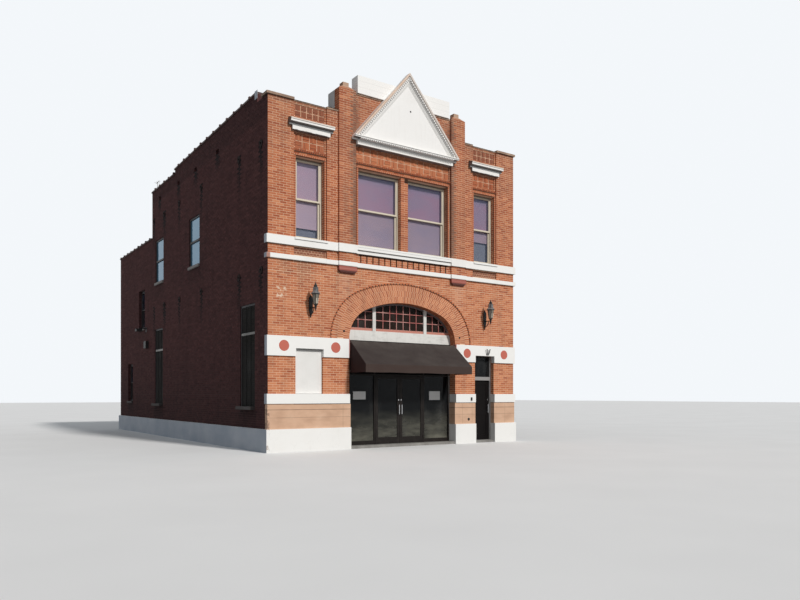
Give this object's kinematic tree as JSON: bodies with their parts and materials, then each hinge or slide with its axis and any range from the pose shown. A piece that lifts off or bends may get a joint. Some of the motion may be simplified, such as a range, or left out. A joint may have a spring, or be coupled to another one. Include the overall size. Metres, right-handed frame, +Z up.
{
  "type": "two-storey brick fire station building",
  "caption": "Hollow two-storey brick fire station with an arched engine doorway, gabled parapet, cloth awning and opening doors.",
  "frame": {"origin": "on the ground, in the middle of the street wall's main brick face", "axes": "+Z up, +Y from the street front towards the back, +X to the right seen from the street"},
  "size_m": [9.83, 17.865, 11.6],
  "materials": {
    "front_brick": "fired brick laid in lime mortar, weathered",
    "red_brick": "dark common brick, weathered",
    "limestone": "smooth dressed stone, a little soiled",
    "coping_stone": "dressed stone, weathered",
    "clay_tile": "clay coping tile, weathered",
    "floor_slab": "trowelled slab",
    "roofing": "dull roofing felt",
    "white_paint": "satin paint, soiled under the ledges",
    "cream_paint": "satin paint",
    "red_paint": "semi-gloss paint",
    "board_paint": "painted board, matt",
    "dark_window_paint": "satin paint, aged",
    "window_glass": "clear, lightly dusty",
    "iron": "painted, rust showing",
    "black_iron": "satin black paint",
    "storefront_metal": "dark anodised, satin",
    "pull_metal": "satin",
    "awning_cloth": "close woven, matt"
  },
  "bodies": {
    "building": {"arch_ring": "front_brick", "arch_wall": "front_brick", "awning": "awning_cloth", "awning_frame": "pull_metal", "bay_cornices": "white_paint", "bay_walls": "front_brick", "belts": "white_paint", "centre_wall": "front_brick", "corbels": "red_paint", "doorway_frames": "storefront_metal", "fanlight_bars": "red_paint", "fanlight_frame": "cream_paint", "frieze_wall": "front_brick", "gable_cornice": "white_paint", "gable_panel": "white_paint", "ground_floor": "floor_slab", "left_wall": "red_brick", "limestone_courses": "limestone", "lower_brick_piers": "front_brick", "lower_glass": "window_glass", "main_back_wall": "red_brick", "painted_bands": "white_paint", "painted_base": "white_paint", "parapet_screen": "white_paint", "pilasters": "front_brick", "rear_walls": "red_brick", "right_wall": "red_brick", "roof_decks": "roofing", "side_copings": "clay_tile", "side_window_frames": "dark_window_paint", "sills_and_copings": "coping_stone", "tie_plates": "iron", "upper_floors": "floor_slab", "upper_window_frames": "cream_paint", "wall_lights": "black_iron", "window_board": "board_paint", "window_glass": "window_glass"},
    "entrance_door_left": {"entrance_door_left": "storefront_metal", "entrance_glass_left": "window_glass", "entrance_pull_left": "pull_metal"},
    "entrance_door_right": {"entrance_door_right": "storefront_metal", "entrance_glass_right": "window_glass", "entrance_pull_right": "pull_metal"},
    "side_door": {"side_door": "red_paint", "side_door_pull": "pull_metal"}
  },
  "joints": [
    {"name": "left_entrance_hinge", "type": "hinge", "parent": "building", "child": "entrance_door_left", "pos_m": [-0.912, 0.276, 1.14], "axis": [0, 0, -1], "range_deg": [0, 90]},
    {"name": "right_entrance_hinge", "type": "hinge", "parent": "building", "child": "entrance_door_right", "pos_m": [0.912, 0.276, 1.14], "axis": [0, 0, 1], "range_deg": [0, 90]},
    {"name": "side_door_hinge", "type": "hinge", "parent": "building", "child": "side_door", "pos_m": [2.919, 0.259, 1.09], "axis": [0, 0, 1], "range_deg": [0, 90]}
  ]
}
